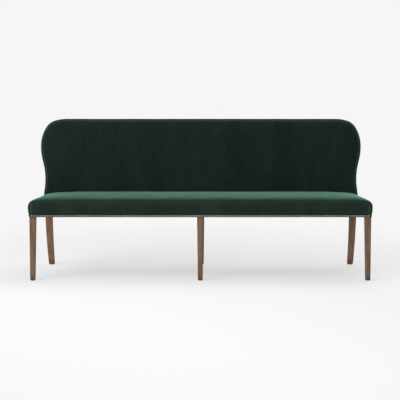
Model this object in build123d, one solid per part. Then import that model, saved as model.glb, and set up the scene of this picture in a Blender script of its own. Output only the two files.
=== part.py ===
from build123d import *
import os
from math import asin, atan, cos, degrees, hypot, radians, sin, sqrt, tan

os.makedirs("parts", exist_ok=True)

# An upholstered dining bench with a tall raked back, in millimetres.
# X runs along the bench, the sitter looks towards -Y, Z is up from the floor.
# The origin lies on the floor under the middle of the bench.

# Overall sizes
seat_length = 2000.0
shoulder_overhang = 34.5
overall_depth = 646.0
overall_height = 952.0
hem_height = 371.0

# Clearances
fit = 0.2
soft_gap = 0.4
overrun = 60.0

# Legs
leg_inset = 27.0
leg_top = 38.0
leg_foot = 28.5
leg_edge_radius = 8.0
foot_edge_radius = 6.0
foot_chamfer = 4.5
glide_height = 1.5
glide_diameter = 18.0
glide_dome = 1.0
bar_sides = 6
glide_sides = 8
rear_leg_top = 46.0
rear_leg_foot = 37.0
rear_leg_kick = 106.0
rear_leg_curve_radius = 1150.0
rear_leg_spans = 4

# Rails and joints
rail_height = 70.0
rail_thickness = 25.0
rail_bottom_step = 2.0
cross_rail_height = 58.0
tenon_thickness = 12.0
tenon_length = 18.0
tenon_shoulder = 10.0

# Corner blocks and fasteners
corner_block_leg = 78.0
corner_block_height = 42.0
corner_block_drop = 12.0
block_screw_diameter = 5.0
block_screw_bite = 14.0
block_screw_head_diameter = 10.0
block_screw_head_height = 3.0
block_screw_drop = 11.0
block_screw_place_share = 0.74
leg_bolt_diameter = 8.0
leg_bolt_bite = 22.0
leg_bolt_nut_width = 13.0
leg_bolt_nut_height = 6.5
leg_bolt_tail = 6.0
washer_diameter = 20.0
washer_height = 1.6
lap_bolt_spread = 36.0
lap_bolt_bite = 15.0
lap_screw_diameter = 5.0
lap_screw_length = 30.0
lap_screw_head_diameter = 10.0
lap_screw_head_depth = 3.0

# Seat upholstery
seat_overhang = 11.0
hem_inset = 5.0
hem_band = 11.5
bulge_rise = 52.0
edge_rise = 89.5
crown_rise = 115.0
edge_inset = 10.0
crown_run = 235.0
seat_corner_radius = 18.0
cover_thickness = 2.0
under_turn = 25.0
webbing_width = 50.0
webbing_thickness = 2.0
webbing_per_bay = 4
webbing_seat = 15.0
hessian_thickness = 1.0

# Side profile of the seat pad, as shares of hem_inset and the bulge, edge_inset and the edge, then the crown
lower_edge_shares = [(1.0, 0.0), (0.4, 0.35), (0.0, 1.0)]
upper_edge_shares = [(0.22, 0.6), (1.0, 1.0)]
crown_shares = [(0.031, 0.235), (0.08, 0.41), (0.19, 0.61), (0.42, 0.8), (1.0, 1.0)]

# Dust cover
dust_cover_thickness = 1.0
dust_cover_margin = 16.0
staple_crown = 12.0
staple_wire = 0.9
staple_pitch = 160.0
staple_inset = 8.0

# Nailheads
nail_pitch = 13.0
nail_head_diameter = 9.5
nail_head_height = 2.6
nail_rise = 6.0
nail_sides = 6
nail_shoulder_share = 0.74
nail_shoulder_height_share = 0.62

# Back: outline up the side, then thickness
back_rake = 10.0
back_side_step = 1.0
back_thickness = 80.0
flare_step = 4.5
waist_inset = 1.5
flare_rise_share = 0.134
waist_rise_share = 0.284
shoulder_share = 0.45
corner_radius_shares = (0.396, 0.1635, 0.43)
corner_headings = (0.0, 30.0, 72.0, 90.0)
back_edge_radius = 33.0
back_crown = 4.0
back_edge_angles = (0.0, 20.0, 40.0, 60.0)
back_crown_run_share = 0.74
back_crown_shares = [(0.25, 0.5), (1.0, 1.0)]
tuck_rise = 85.0

# Back frame
back_board_thickness = 3.0
back_frame_thickness = 36.0
back_frame_inset = 12.0
back_rail_thickness = 25.0
back_top_rail_height = 60.0
back_lower_rail_rise = 108.0
back_lower_rail_height = 60.0
ear_head_height = 111.0
ear_head_width = 138.0
ear_bottom_step = 57.0
stile_width = 45.0
back_webbing_per_bay = 3

# Values that follow from the sizes above
rake = radians(back_rake)
rake_sin = sin(rake)
rake_cos = cos(rake)
seat_half = seat_length / 2
seat_front_y = -overall_depth / 2
hem_half = seat_half - hem_inset
back_hem_half = hem_half + back_side_step
leg_center_x = seat_half - leg_inset
post_outer_x = leg_center_x + leg_top / 2
post_inner_x = leg_center_x - leg_top / 2
cross_rail_x = post_inner_x / 2
rail_front_y = seat_front_y + seat_overhang
rail_back_y = rail_front_y + rail_thickness
leg_back_y = rail_front_y + leg_top
front_leg_y = rail_front_y + leg_top / 2
rail_bottom = hem_height + rail_bottom_step
rail_top = rail_bottom + rail_height
webbing_top = rail_top + webbing_thickness
hessian_top = webbing_top + hessian_thickness
far = seat_length + overall_height

edge_center_rise = (back_thickness - back_edge_radius) * rake_sin
back_top_rise = back_edge_radius + (
    overall_height - hem_height - back_edge_radius - edge_center_rise
) / rake_cos
back_hem_y = overall_depth / 2 - back_top_rise * rake_sin
flare_rise = back_top_rise * flare_rise_share
waist_rise = back_top_rise * waist_rise_share
corner_radii = [back_top_rise * share for share in corner_radius_shares]
post_top_rise = back_top_rise - ear_head_height
ear_bottom_rise = waist_rise + ear_bottom_step

frame_w0 = cover_thickness + back_board_thickness
frame_w1 = frame_w0 + back_frame_thickness
rail_w0 = frame_w1 - back_rail_thickness
back_webbing_w1 = frame_w1 + webbing_thickness
back_hessian_w1 = back_webbing_w1 + hessian_thickness

back_plane = Plane(
    origin=(0, back_hem_y, hem_height),
    x_dir=(1, 0, 0),
    z_dir=(0, -rake_cos, rake_sin),
)


def block(x, y, z):
    """A box between two places along each axis."""
    size = [high - low for low, high in (x, y, z)]
    middle = [(high + low) / 2 for low, high in (x, y, z)]
    return Pos(*middle) * Box(*size)


def slab(x, rise, w):
    """A box in the raked frame of the back: across, up the rake, and forward from its rear face."""
    return back_plane.location * block(x, rise, w)


def bar(radius, length):
    """A small round bar along +Z from the origin, drawn with a few flat sides."""
    return extrude(RegularPolygon(radius, bar_sides), length)


def mirrored(shape):
    """The same piece for the other end of the bench."""
    return shape.mirror(Plane.YZ)


def above(z):
    """Everything over a height."""
    return block((-far, far), (-far, far), (z, z + far))


def below(z):
    """Everything under a height."""
    return block((-far, far), (-far, far), (z - far, z))


def behind(w):
    """Everything behind a layer of the raked back."""
    return slab((-far, far), (-far, far), (w - far, w))


def front_of_back(z, w):
    """Y of a layer of the raked back at a height."""
    return back_hem_y + (z - hem_height) * rake_sin / rake_cos - w / rake_cos


def offset_profile(points, depth):
    """Points (inset, height) of an edge profile, moved inwards at right angles to it."""
    moved = []
    last = len(points) - 1
    for index, (inset, height) in enumerate(points):
        ahead = points[min(index + 1, last)]
        back = points[max(index - 1, 0)]
        run = ahead[0] - back[0]
        rise = ahead[1] - back[1]
        length = hypot(run, rise)
        moved.append((inset + depth * rise / length, height - depth * run / length))
    return moved


# Seat pad: a crowned form, drawn in at its hem, built from level sections
def seat_edge_profile():
    """Points (inset, height) from the top of the hem band to the crown."""
    band_top = hem_height + hem_band
    points = []
    for inset_share, rise_share in lower_edge_shares:
        points.append((hem_inset * inset_share, band_top + (bulge_rise - hem_band) * rise_share))
    for inset_share, rise_share in upper_edge_shares:
        rise = bulge_rise + (edge_rise - bulge_rise) * rise_share
        points.append((edge_inset * inset_share, hem_height + rise))
    for run_share, rise_share in crown_shares:
        inset = edge_inset + (crown_run - edge_inset) * run_share
        rise = edge_rise + (crown_rise - edge_rise) * rise_share
        points.append((inset, hem_height + rise))
    return points


def seat_section(inset, height, radius, rear):
    """One level section of the seat pad, which runs on into the back."""
    front = seat_front_y + inset
    corner = Pos(0, (front + rear) / 2, height)
    return corner * RectangleRounded(seat_length - 2 * inset, rear - front, radius)


def seat_form(depth, floor):
    """The outer form of the seat, or the same form a little deeper, from a floor height up."""
    outer = seat_edge_profile()
    inner = offset_profile(outer, depth)
    rear = back_hem_y + overrun + (overrun if depth else 0)
    sections = []
    for (nominal, _), (inset, height) in zip(outer, inner):
        sections.append(seat_section(inset, height, seat_corner_radius - (inset - nominal), rear))
    band = extrude(sections[0], amount=inner[0][1] - floor, dir=(0, 0, -1))
    return band + loft(sections, ruled=True)


# Back: the outline up one side, as arcs that meet smoothly, from the hem to the top edge
def s_curve(step, rise, first_share):
    """Radii and turn, in degrees, of two arcs that step sideways and end up parallel."""
    radii_sum = (step**2 + rise**2) / (2 * abs(step))
    turn = degrees(asin(rise / radii_sum))
    if step < 0:
        turn = -turn
    return [(radii_sum * first_share, turn), (radii_sum * (1 - first_share), -turn)]


def side_arcs():
    """Every arc up the side as (radius, turn), where an outward turn is positive."""
    corner_rise = 0
    corner = []
    for radius, start, end in zip(corner_radii, corner_headings, corner_headings[1:]):
        corner_rise += radius * (sin(radians(end)) - sin(radians(start)))
        corner.append((radius, start - end))
    wide_rise = back_top_rise - corner_rise
    arcs = s_curve(seat_half + flare_step - back_hem_half, flare_rise, 1 / 2)
    arcs += s_curve(-flare_step - waist_inset, waist_rise - flare_rise, 1 / 2)
    arcs += s_curve(waist_inset + shoulder_overhang, wide_rise - waist_rise, 1 - shoulder_share)
    return arcs + corner


def side_points(inset):
    """Start, middle and end of each arc up the right side, a little inside the outline."""
    x = back_hem_half - inset
    rise = 0
    heading = 0
    triples = []
    for radius, turn in side_arcs():
        side = 1 if turn > 0 else -1
        own_radius = radius + side * inset
        center_x = x + side * own_radius * cos(heading)
        center_rise = rise - side * own_radius * sin(heading)
        triple = []
        for angle in (heading, heading + radians(turn) / 2, heading + radians(turn)):
            triple.append((
                center_x - side * own_radius * cos(angle),
                center_rise + side * own_radius * sin(angle),
            ))
        triples.append(triple)
        heading += radians(turn)
        x, rise = triple[-1]
    return triples


def back_outline(inset):
    """The face of the back, seen square on, a little inside its outline."""
    right = side_points(inset)
    left = [[(-x, rise) for x, rise in reversed(triple)] for triple in reversed(right)]
    foot = (back_hem_half - inset, -overrun)
    foot_left = (-foot[0], foot[1])
    edges = [Line(foot, right[0][0])]
    edges += [ThreePointArc(*triple) for triple in right]
    edges.append(Line(right[-1][-1], left[0][0]))
    edges += [ThreePointArc(*triple) for triple in left]
    edges.append(Line(left[-1][-1], foot_left))
    edges.append(Line(foot_left, foot))
    return make_face(edges)


def back_edge_profile():
    """Points (inset, forward) from the straight side of the back to its flat front."""
    center = back_thickness - back_crown - back_edge_radius
    points = []
    for angle in back_edge_angles:
        inset = back_edge_radius * (1 - cos(radians(angle)))
        points.append((inset, center + back_edge_radius * sin(radians(angle))))
    inset, forward = points[-1]
    crown_run = back_crown_run_share * (min(corner_radii) - inset)
    for run_share, rise_share in back_crown_shares:
        points.append((
            inset + crown_run * run_share,
            forward + (back_thickness - forward) * rise_share,
        ))
    return points


def back_form(depth, w0):
    """The outer form of the back, or the same form a little deeper, from a layer forward."""
    sections = []
    for inset, forward in offset_profile(back_edge_profile(), depth):
        sections.append(back_plane.location * Pos(0, 0, forward) * back_outline(inset))
    first = offset_profile(back_edge_profile(), depth)[0][1]
    body = extrude(sections[0], amount=first - w0, dir=(0, rake_cos, -rake_sin))
    return body + loft(sections, ruled=True)


def back_layer(inset, w0, w1):
    """A flat layer of the back between two depths, inside the outline, down to the rails."""
    face = back_plane.location * Pos(0, 0, w0) * back_outline(inset)
    layer = extrude(face, amount=w1 - w0, dir=(0, -rake_cos, rake_sin))
    return layer - below(rail_bottom)


# Legs
def rounded_square(x, y, z, width, depth, radius):
    """A level section of a leg."""
    return Pos(x, y, z) * RectangleRounded(width, depth, radius)


def foot_block(x, y, width):
    """The chamfered end of a leg, from its glide up."""
    low_size = (width - 2 * foot_chamfer, leg_foot - 2 * foot_chamfer)
    low = rounded_square(x, y, glide_height, *low_size, foot_edge_radius / 2)
    high_z = glide_height + foot_chamfer
    high = rounded_square(x, y, high_z, width, leg_foot, foot_edge_radius)
    return loft([low, high], ruled=True)


def front_leg_shaft(x):
    """The part of a front leg below the seat, tapered on all four sides."""
    shaft_bottom = glide_height + foot_chamfer
    low = rounded_square(x, front_leg_y, shaft_bottom, leg_foot, leg_foot, foot_edge_radius)
    high = rounded_square(x, front_leg_y, rail_bottom, leg_top, leg_top, leg_edge_radius)
    return foot_block(x, front_leg_y, leg_foot) + loft([low, high], ruled=True)


def front_leg_head(x):
    """The square top of a front leg, inside the seat."""
    half = leg_top / 2
    return block((x - half, x + half), (rail_front_y, leg_back_y), (rail_bottom, rail_top))


def rounded_head_right():
    """The head of the right front leg, its outer corner rounded to lie inside the cover."""
    head = front_leg_head(leg_center_x)
    corner = head.edges().filter_by(Axis.Z).sort_by(Axis.X)[-2:].sort_by(Axis.Y)[0]
    return fillet(corner, seat_corner_radius + hem_inset - seat_overhang)


def rear_leg_y(height):
    """Centre line of the curved rear leg: an arc that runs out behind towards the floor."""
    top_y = front_of_back(hem_height, (frame_w0 + frame_w1) / 2)
    chord = hypot(rear_leg_kick, hem_height)
    half_turn = asin(chord / 2 / rear_leg_curve_radius)
    foot_heading = asin(rear_leg_kick / chord) + half_turn
    center_y = top_y + rear_leg_kick + rear_leg_curve_radius * cos(foot_heading)
    center_z = rear_leg_curve_radius * sin(foot_heading)
    return center_y - sqrt(rear_leg_curve_radius**2 - (center_z - height) ** 2)


def rear_leg_shaft(x):
    """The curved part of a rear leg, from its foot to the hem."""
    shaft_bottom = glide_height + foot_chamfer
    top_depth = back_frame_thickness / rake_cos
    sections = []
    for index in range(rear_leg_spans + 1):
        share = index / rear_leg_spans
        z = shaft_bottom + (rail_bottom - shaft_bottom) * share
        width = rear_leg_foot + (rear_leg_top - rear_leg_foot) * share
        depth = leg_foot + (top_depth - leg_foot) * share
        radius = foot_edge_radius + (leg_edge_radius - foot_edge_radius) * share
        sections.append(rounded_square(x, rear_leg_y(z), z, width, depth, radius))
    return foot_block(x, rear_leg_y(shaft_bottom), rear_leg_foot) + loft(sections, ruled=True)


def outer_rear_leg(x):
    """A rear leg that runs on as the post of the back, with its mortises."""
    half = leg_top / 2
    post = slab((x - half, x + half), (-overrun, post_top_rise), (frame_w0, frame_w1))
    post -= below(rail_bottom)
    return rear_leg_shaft(x) + post


def middle_rear_leg():
    """The middle rear leg, lapped behind the rear rail and the lower back rail."""
    half = leg_top / 2
    lap_top = back_lower_rail_rise + back_lower_rail_height
    lap = slab((-half, half), (-overrun, lap_top), (frame_w0, rail_w0))
    lap -= below(rail_bottom)
    return rear_leg_shaft(0) + lap


def glide(x, y):
    """A nylon foot glide with a softly domed edge."""
    radius = glide_diameter / 2
    rim = Pos(x, y, glide_height - glide_dome) * RegularPolygon(radius, glide_sides)
    low = Pos(x, y, 0) * RegularPolygon(radius - glide_dome, glide_sides)
    return loft([low, rim], ruled=True) + extrude(rim, glide_dome)


# Seat frame
def rail_tenon(x, y, z):
    """A tenon cut back from the top and bottom of its rail."""
    low, high = z
    return block(x, y, (low + tenon_shoulder, high - tenon_shoulder))


def build_front_rail(grow):
    """Rail between the front legs, its tenons grown by a clearance when used as a cutter."""
    rail = block((-post_inner_x, post_inner_x), (rail_front_y, rail_back_y), (rail_bottom, rail_top))
    y0 = rail_front_y + (rail_thickness - tenon_thickness) / 2 - grow
    y1 = y0 + tenon_thickness + 2 * grow
    reach = post_inner_x + tenon_length + grow
    z = (rail_bottom - grow, rail_top + grow)
    return rail + rail_tenon((-reach, reach), (y0, y1), z)


def build_side_rail(grow):
    """Right side rail with a tenon at each end."""
    x1 = post_outer_x
    x0 = x1 - rail_thickness
    z = (rail_bottom, rail_top)
    rear = back_hem_y + overrun
    rail = block((x0, x1), (leg_back_y, rear), z) - behind(frame_w1)
    t0 = (x0 + x1 - tenon_thickness) / 2 - grow
    t1 = t0 + tenon_thickness + 2 * grow
    tenon_z = (rail_bottom - grow, rail_top + grow)
    tenon = rail_tenon((t0, t1), (leg_back_y - tenon_length - grow, rear), tenon_z)
    tenon -= behind(frame_w1 - tenon_length - grow)
    return rail + tenon


def build_rear_rail(grow):
    """Raked rear rail between the back posts."""
    rail = slab((-post_inner_x, post_inner_x), (-overrun, rail_top), (rail_w0, frame_w1))
    rail -= below(rail_bottom)
    rail -= above(rail_top)
    w0 = rail_w0 + (back_rail_thickness - tenon_thickness) / 2 - grow
    reach = post_inner_x + tenon_length + grow
    tenon = slab((-reach, reach), (-overrun, rail_top), (w0, w0 + tenon_thickness + 2 * grow))
    tenon -= below(rail_bottom + tenon_shoulder - grow)
    tenon -= above(rail_top - tenon_shoulder + grow)
    return rail + tenon


def build_lower_back_rail(grow):
    """Raked rail behind the tuck between seat and back."""
    top = back_lower_rail_rise + back_lower_rail_height
    rise = (back_lower_rail_rise, top)
    rail = slab((-post_inner_x, post_inner_x), rise, (rail_w0, frame_w1))
    w0 = rail_w0 + (back_rail_thickness - tenon_thickness) / 2 - grow
    reach = post_inner_x + tenon_length + grow
    tenon_rise = (rise[0] + tenon_shoulder - grow, rise[1] - tenon_shoulder + grow)
    return rail + slab((-reach, reach), tenon_rise, (w0, w0 + tenon_thickness + 2 * grow))


def build_top_back_rail(grow):
    """Top rail of the back, tenoned into the heads of the end pieces."""
    top = back_top_rise - back_frame_inset
    rise = (top - back_top_rail_height, top)
    half = top_rail_half
    rail = slab((-half, half), rise, (frame_w0, frame_w1))
    w0 = (frame_w0 + frame_w1 - tenon_thickness) / 2 - grow
    reach = half + tenon_length + grow
    tenon_rise = (rise[0] + tenon_shoulder - grow, rise[1] - tenon_shoulder + grow)
    return rail + slab((-reach, reach), tenon_rise, (w0, w0 + tenon_thickness + 2 * grow))


def build_cross_rail(x, start_y):
    """A cross rail from the front rail or leg to the rear rail."""
    half = rail_thickness / 2
    rail = block(
        (x - half, x + half),
        (start_y, back_hem_y + overrun),
        (rail_bottom, rail_bottom + cross_rail_height),
    )
    return rail - behind(frame_w1)


top_rail_half = post_inner_x + leg_top - ear_head_width
seat_straps_y0 = rail_front_y + rail_thickness - webbing_seat


# Corner blocks, with the screws and bolts that hold them
def front_block_right():
    """Block glued into the right front corner, notched round the leg."""
    corner_x = post_outer_x - rail_thickness
    notch_x = post_inner_x
    outline = Polyline(
        (notch_x, rail_back_y),
        (corner_x - corner_block_leg, rail_back_y),
        (corner_x, rail_back_y + corner_block_leg),
        (corner_x, leg_back_y),
        (notch_x, leg_back_y),
        close=True,
    )
    top = rail_top - corner_block_drop
    return extrude(Pos(0, 0, top - corner_block_height) * make_face(outline), corner_block_height)


def rear_block_right():
    """Block glued into the right rear corner, cut to the rake of the rear rail."""
    corner_x = post_outer_x - rail_thickness
    top = rail_top - corner_block_drop
    front = front_of_back(top - corner_block_height, frame_w1) - corner_block_leg
    outline = Polyline(
        (corner_x, front),
        (corner_x, front + far),
        (corner_x - corner_block_leg - far, front + corner_block_leg + far),
        close=True,
    )
    face = Pos(0, 0, top - corner_block_height) * make_face(outline)
    return extrude(face, corner_block_height) - behind(frame_w1)


def screw(tip_to_head, head_side):
    """A screw along +Z from its tip at the origin, its head on the far side."""
    shank = bar(block_screw_diameter / 2, tip_to_head)
    return shank + Pos(0, 0, tip_to_head) * bar(block_screw_head_diameter / 2, head_side)


def block_screw_places():
    """Where the two screws of each right-hand block sit: tip point and direction of the head."""
    corner_x = post_outer_x - rail_thickness
    z = rail_top - corner_block_drop - corner_block_height / 2 - block_screw_drop
    along = corner_block_leg * block_screw_place_share
    front_x = corner_x - along
    rear_front = front_of_back(z, frame_w1)
    return [
        Plane(origin=(front_x, rail_back_y - block_screw_bite, z), z_dir=(0, 1, 0)),
        Plane(origin=(corner_x + block_screw_bite, rail_back_y + along, z), z_dir=(-1, 0, 0)),
        Plane(
            origin=(front_x, rear_front + block_screw_bite * rake_cos, z - block_screw_bite * rake_sin),
            z_dir=(0, -rake_cos, rake_sin),
        ),
        Plane(origin=(corner_x + block_screw_bite, rear_front - along, z), z_dir=(-1, 0, 0)),
    ]


def screw_reach():
    """How far a screw runs from its tip to the sloping face of its block."""
    return block_screw_bite + corner_block_leg * (1 - block_screw_place_share)


block_screws_right = []
block_screw_holes_right = []
for place in block_screw_places():
    reach = screw_reach() + block_screw_diameter / 2
    block_screws_right.append(place.location * screw(reach, block_screw_head_height))
    hole = bar(block_screw_diameter / 2 + fit, reach)
    head_room = Pos(0, 0, reach) * bar(block_screw_head_diameter / 2 + fit, overrun)
    block_screw_holes_right.append(place.location * (hole + head_room))


def cut(shape, cutters):
    """A shape with each cutter taken away."""
    for cutter in cutters:
        shape = shape - cutter
    return shape


def bolt(length, tail):
    """A stud along +Z from its tip, with its nut and washer near the far end."""
    stud = bar(leg_bolt_diameter / 2, length + tail)
    nut_face = RegularPolygon(leg_bolt_nut_width / 2, 6, major_radius=False)
    nut = Pos(0, 0, length - leg_bolt_nut_height) * extrude(nut_face, leg_bolt_nut_height)
    return stud + nut


def washer():
    """A flat washer round the stud."""
    return bar(washer_diameter / 2, washer_height) - bar(leg_bolt_diameter / 2 + fit, washer_height)


def front_bolt_plane():
    """Place of the bolt through the right front block into its leg, along the diagonal."""
    z = rail_top - corner_block_drop - corner_block_height / 2
    bite = leg_bolt_bite / sqrt(2)
    return Plane(
        origin=(post_inner_x + bite, leg_back_y - bite, z),
        z_dir=(-1, 1, 0),
    )


def front_bolt_grip():
    """Thickness of the block along the diagonal, from the leg's edge to the sloping face."""
    corner_x = post_outer_x - rail_thickness
    notch = (corner_x - post_inner_x) + (leg_back_y - rail_back_y)
    return (corner_block_leg - notch) / sqrt(2)


front_lap_depth = leg_top - rail_thickness
diagonal = front_bolt_plane()
diagonal_length = leg_bolt_bite + front_bolt_grip()
stack = washer_height + leg_bolt_nut_height

leg_bolts = []
leg_bolt_washers = []
leg_bolt_holes = []
for side in (1, -1):
    stud = diagonal.location * bolt(diagonal_length + stack, leg_bolt_tail)
    ring = diagonal.location * Pos(0, 0, diagonal_length) * washer()
    hole = diagonal.location * bar(leg_bolt_diameter / 2 + fit, diagonal_length + overrun)
    leg_bolts.append(stud if side > 0 else mirrored(stud))
    leg_bolt_washers.append(ring if side > 0 else mirrored(ring))
    leg_bolt_holes.append(hole if side > 0 else mirrored(hole))

lap_bolts = []
lap_bolt_holes = []
z_mid = (rail_bottom + rail_top) / 2
for z in (z_mid - lap_bolt_spread / 2, z_mid + lap_bolt_spread / 2):
    place = Plane(origin=(0, rail_back_y - lap_bolt_bite, z), z_dir=(0, 1, 0))
    length = lap_bolt_bite + front_lap_depth
    head = Pos(0, 0, length)
    body = bar(leg_bolt_diameter / 2, length)
    body += head * bar(leg_bolt_nut_width / 2, leg_bolt_nut_height)
    lap_bolts.append(place.location * body)
    room = bar(leg_bolt_diameter / 2 + fit, length)
    room += head * bar(leg_bolt_nut_width / 2 + fit, leg_bolt_nut_height)
    lap_bolt_holes.append(place.location * room)

# Countersunk screws from behind, through the middle rear leg into its two rails
def lap_screw(grow):
    """A countersunk screw pointing forward from the rear face of the leg."""
    radius = lap_screw_diameter / 2 + grow
    head_radius = lap_screw_head_diameter / 2 + grow
    taper = degrees(atan((head_radius - radius) * cos(radians(180 / bar_sides)) / lap_screw_head_depth))
    head = extrude(RegularPolygon(head_radius, bar_sides), lap_screw_head_depth, taper=taper)
    return bar(radius, lap_screw_length + grow) + head


lap_screws = []
lap_screw_holes = []
rear_rail_middle_rise = rail_bottom_step + rail_height / 2
lower_rail_middle_rise = back_lower_rail_rise + back_lower_rail_height / 2
for middle_rise in (rear_rail_middle_rise, lower_rail_middle_rise):
    for offset in (-lap_bolt_spread / 2, lap_bolt_spread / 2):
        place = back_plane.location * Pos(0, middle_rise + offset, frame_w0)
        lap_screws.append(place * lap_screw(0))
        lap_screw_holes.append(place * lap_screw(fit))

# Wooden pieces, cut for their joints
screw_holes = block_screw_holes_right + [mirrored(hole) for hole in block_screw_holes_right]
front_rail_socket = build_front_rail(fit)
side_rail_socket = build_side_rail(fit)
rear_rail_socket = build_rear_rail(fit)
lower_rail_socket = build_lower_back_rail(fit)
top_rail_socket = build_top_back_rail(fit)

front_leg_right = front_leg_shaft(leg_center_x) + rounded_head_right()
front_leg_right = front_leg_right - front_rail_socket - side_rail_socket - leg_bolt_holes[0]
front_leg_left = mirrored(front_leg_right)
front_leg_middle = front_leg_shaft(0) + front_leg_head(0)
front_leg_middle = cut(front_leg_middle - build_front_rail(0), lap_bolt_holes)

rear_leg_right = outer_rear_leg(leg_center_x) - rear_rail_socket - side_rail_socket - lower_rail_socket
rear_leg_left = mirrored(rear_leg_right)
rear_leg_middle = cut(middle_rear_leg(), lap_screw_holes)

front_rail = cut(build_front_rail(0), screw_holes + lap_bolt_holes)
side_rail_right = cut(build_side_rail(0), block_screw_holes_right)
side_rail_left = mirrored(side_rail_right)
rear_rail = cut(build_rear_rail(0), screw_holes + lap_screw_holes)
cross_rail_right = build_cross_rail(cross_rail_x, rail_back_y)
cross_rail_left = mirrored(cross_rail_right)
cross_rail_middle = cut(build_cross_rail(0, leg_back_y), lap_bolt_holes)

right_blocks = [
    cut(front_block_right(), block_screw_holes_right + [leg_bolt_holes[0]]),
    cut(rear_block_right(), block_screw_holes_right),
]
corner_blocks = right_blocks + [mirrored(piece) for piece in right_blocks]
corner_block_screws = block_screws_right + [mirrored(piece) for piece in block_screws_right]


# Back frame
def end_piece_right():
    """Shaped end of the back: a strip outside the post and a head above it, inside the outline."""
    envelope = back_layer(back_frame_inset, frame_w0, frame_w1)
    everywhere = (frame_w0 - overrun, frame_w1 + overrun)
    strip = slab((post_outer_x, far), (ear_bottom_rise, far), everywhere)
    head = slab((top_rail_half, far), (post_top_rise, far), everywhere)
    return (envelope & strip) + (envelope & head) - top_rail_socket


def stile(x):
    """An upright between the lower and the top rail of the back."""
    half = stile_width / 2
    low = back_lower_rail_rise + back_lower_rail_height
    high = back_top_rise - back_frame_inset - back_top_rail_height
    return slab((x - half, x + half), (low, high), (rail_w0, frame_w1))


back_end_piece_right = end_piece_right()
back_end_piece_left = mirrored(back_end_piece_right)
back_stiles = [stile(x) for x in (-cross_rail_x, 0, cross_rail_x)]


# Webbing, hessian, foam and covers
def strap_centers(bay_start, bay_end, count):
    """Middles of evenly spaced straps in a bay."""
    pitch = (bay_end - bay_start) / count
    return [bay_start + pitch * (index + 1 / 2) for index in range(count)]


def seat_strap(x):
    """A strap of webbing from the front rail to the rear rail."""
    half = webbing_width / 2
    y1 = back_hem_y + overrun
    strap = block((x - half, x + half), (seat_straps_y0, y1), (rail_top, webbing_top))
    return strap - behind(frame_w1 - webbing_seat)


def back_strap(x):
    """A strap of webbing up the front of the back frame."""
    half = webbing_width / 2
    low = back_lower_rail_rise + back_lower_rail_height - webbing_seat
    high = back_top_rise - back_frame_inset - back_top_rail_height + webbing_seat
    return slab((x - half, x + half), (low, high), (frame_w1, back_webbing_w1))


seat_webbing = []
back_webbing = []
inner_bay = (rail_thickness / 2, cross_rail_x - rail_thickness / 2)
outer_bay = (cross_rail_x + rail_thickness / 2, post_outer_x - rail_thickness)
for bay in (inner_bay, outer_bay):
    for center in strap_centers(*bay, webbing_per_bay):
        seat_webbing += [seat_strap(center), seat_strap(-center)]
    for center in strap_centers(*bay, back_webbing_per_bay):
        back_webbing += [back_strap(center), back_strap(-center)]

seat_hessian = block(
    (-post_outer_x, post_outer_x),
    (rail_front_y, back_hem_y + overrun),
    (webbing_top, hessian_top),
) - behind(back_webbing_w1)

frame_room = block(
    (-post_outer_x - soft_gap, post_outer_x + soft_gap),
    (rail_front_y - soft_gap, far),
    (-far, hessian_top + soft_gap),
)
seat_stop = back_form(-soft_gap, -overrun)
foam_depth = cover_thickness + soft_gap
foam_bottom = hem_height + 2 * hem_band
seat_foam = seat_form(foam_depth, hem_height) - frame_room - below(foam_bottom)
seat_foam = seat_foam - seat_stop - behind(frame_w1)

leg_rooms = []
rear_front_y = front_of_back(hem_height, frame_w1)
rear_back_y = front_of_back(hem_height, frame_w0)
for x in (-leg_center_x, 0, leg_center_x):
    reach = leg_top / 2 + soft_gap
    leg_rooms.append(block(
        (x - reach, x + reach),
        (rail_front_y - soft_gap, leg_back_y + soft_gap),
        (hem_height - overrun, rail_bottom + soft_gap),
    ))
    rear_reach = rear_leg_top / 2 + soft_gap
    leg_rooms.append(block(
        (x - rear_reach, x + rear_reach),
        (rear_front_y - soft_gap, rear_back_y + soft_gap),
        (hem_height - overrun, rail_bottom),
    ))

hem_opening = block(
    (-hem_half + under_turn, hem_half - under_turn),
    (seat_front_y + hem_inset + under_turn, far),
    (hem_height - overrun, rail_bottom + overrun),
)
seat_cover = seat_form(0, hem_height) - seat_form(cover_thickness, rail_bottom)
seat_cover = cut(seat_cover - seat_stop - behind(frame_w1) - hem_opening, leg_rooms)

tuck_room = slab(
    (-post_outer_x - soft_gap, post_outer_x + soft_gap),
    (-far, tuck_rise),
    (-far, far),
)
back_frame_room = (
    back_layer(back_frame_inset - soft_gap, -overrun, back_hessian_w1 + soft_gap)
    & slab((-far, far), (ear_bottom_rise - soft_gap, far), (-far, far))
)
post_room = slab(
    (-post_outer_x - soft_gap, post_outer_x + soft_gap),
    (-far, post_top_rise),
    (-far, back_hessian_w1 + soft_gap),
)
back_foam = back_form(foam_depth, frame_w0) - below(rail_bottom) - tuck_room
back_foam = back_foam - back_frame_room - post_room

back_cover = back_form(0, 0) - back_form(cover_thickness, -overrun)
back_cover = cut(back_cover - below(hem_height) - tuck_room, leg_rooms)

back_hessian = (
    back_layer(back_frame_inset, back_webbing_w1, back_hessian_w1)
    & slab((-far, far), (back_lower_rail_rise, far), (-far, far))
    & slab((-post_outer_x, post_outer_x), (-far, far), (-far, far))
)
panel_inset = cover_thickness + soft_gap
back_board = back_layer(panel_inset, cover_thickness, frame_w0)
back_outside_cover = back_layer(panel_inset, 0, cover_thickness)


# Dust cover under the seat and its staples
dust_z0 = hem_height - dust_cover_thickness
dust_half = hem_half - dust_cover_margin
dust_front = seat_front_y + hem_inset + dust_cover_margin
dust_rear = front_of_back(hem_height, frame_w0)
dust_cover = cut(
    block((-dust_half, dust_half), (dust_front, dust_rear), (dust_z0, hem_height)),
    leg_rooms,
)


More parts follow.
